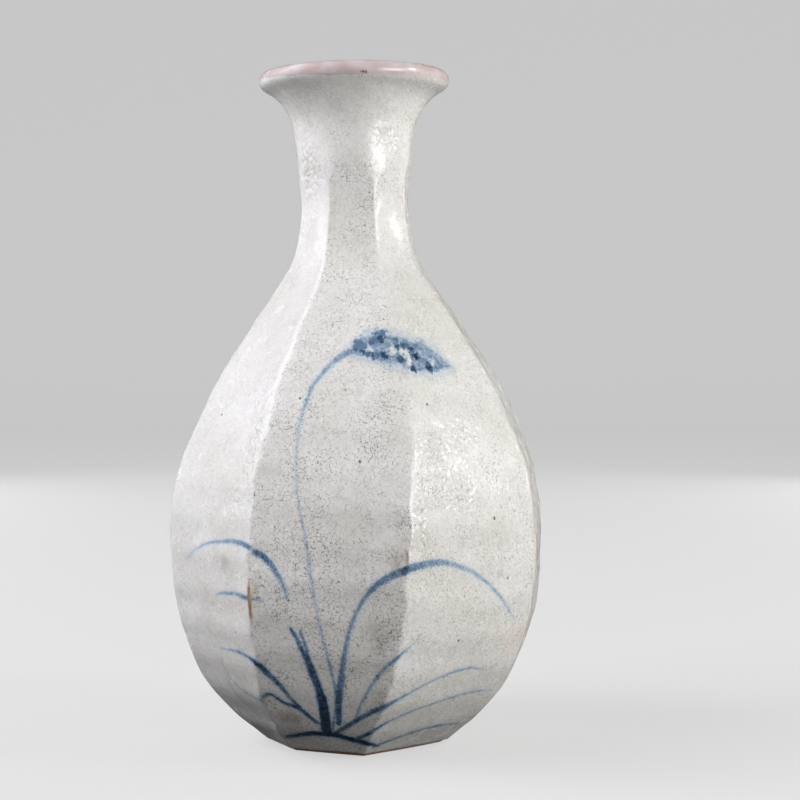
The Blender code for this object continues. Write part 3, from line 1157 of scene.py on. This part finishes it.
def make_stage():
    """Pale paper: a floor that curves up into a round wall. It sends no light back to the bottle."""
    flat, curve, top = 2.2, 0.8, 4.0
    profile = [(0.02, 0), (0.4, 0), (flat, 0)]
    for angle in np.radians(range(6, 91, 6)):
        profile.append((flat + curve * math.sin(angle), curve - curve * math.cos(angle)))
    profile.append((flat + curve, top))
    turn = np.radians(np.arange(0, 360, 3))
    rows = [[(r * math.sin(a), -r * math.cos(a), z) for a in turn] for r, z in profile]
    floor = grid_mesh("floor", rows, closed=False)
    paper = bpy.data.materials.new("paper")
    paper.use_nodes = True
    shader = paper.node_tree.nodes["Principled BSDF"]
    shader.inputs["Base Color"].default_value = color(0.2, 0.2, 0.2)
    shader.inputs["Roughness"].default_value = 0.8
    shader.inputs["Specular IOR Level"].default_value = 0.1
    shader.inputs["Emission Color"].default_value = color(1.0, 1.0, 1.0)
    shader.inputs["Emission Strength"].default_value = 0.54
    floor.data.materials.append(paper)
    floor.visible_diffuse = False
    floor.visible_glossy = False
    floor.visible_shadow = False


def make_camera():
    camera = bpy.data.objects.new("camera", bpy.data.cameras.new("camera"))
    bpy.context.scene.collection.objects.link(camera)
    camera.data.lens = LENS
    camera.location = around(0, CAMERA_DISTANCE, CAMERA_HEIGHT)
    right = around(90, CAMERA_ASIDE, 0)
    drop = CAMERA_DISTANCE * math.tan(CAMERA_PITCH)
    aim(camera, (right.x, right.y, CAMERA_HEIGHT - drop))
    bpy.context.scene.camera = camera


# Lamps: azimuth from the camera's, elevation, distance, width, height, radiance, colour, and gloss.
# The first radiances came from a fit of test renders to the photo's tones, and were changed by hand.
LAMPS = {
    "left_key": (-75, 36, 1.2, 0.9, 0.8, 6.7, (0.955, 0.95, 1.0), False),
    "left_window": (-95, 33, 1.15, 0.36, 1.2, 3.6, (0.955, 0.95, 1.0), True),
    "right_fill": (78, 18, 1.1, 0.5, 0.6, 4.2, (1.0, 0.99, 0.975), False),
    "right_window": (74, 19, 1.15, 0.14, 0.4, 20.0, (1.0, 0.99, 0.975), True),
    "right_low": (45, 3, 1.2, 0.6, 0.4, 9.6, (1.0, 0.99, 0.975), True),
    "right_back": (108, 20, 1.2, 0.5, 0.5, 4.2, (1.0, 0.99, 0.97), False),
    "front_low": (-35, -2, 1.2, 0.6, 0.3, 2.5, (1.0, 0.99, 0.98), False),
    "left_rim": (-140, 2, 1.2, 0.6, 0.4, 12.0, (0.96, 0.96, 1.0), False),
    "right_rim": (140, 2, 1.2, 0.6, 0.4, 8.0, (1.0, 0.99, 0.97), False),
    "collar": (-28, -38, 0.5, 0.3, 0.1, 0.19, (1.0, 0.99, 0.98), False),
}
# The collar lamp shines up at the flare from under the floor, which casts no shadow. Its beam is wide
# enough to take in the neck and the upper body too.
COLLAR_HEIGHT = 0.218
COLLAR_SPREAD = math.radians(24)


def make_lamps():
    for name, values in LAMPS.items():
        lamp = softbox(name, *values, height=COLLAR_HEIGHT if name == "collar" else 0.1)
        if name == "collar":
            lamp.spread = COLLAR_SPREAD


make_camera()
make_world()
make_stage()
make_lamps()
make_outside()
make_lip()
make_inside()
make_clay()
bpy.context.scene.view_settings.view_transform = "Standard"
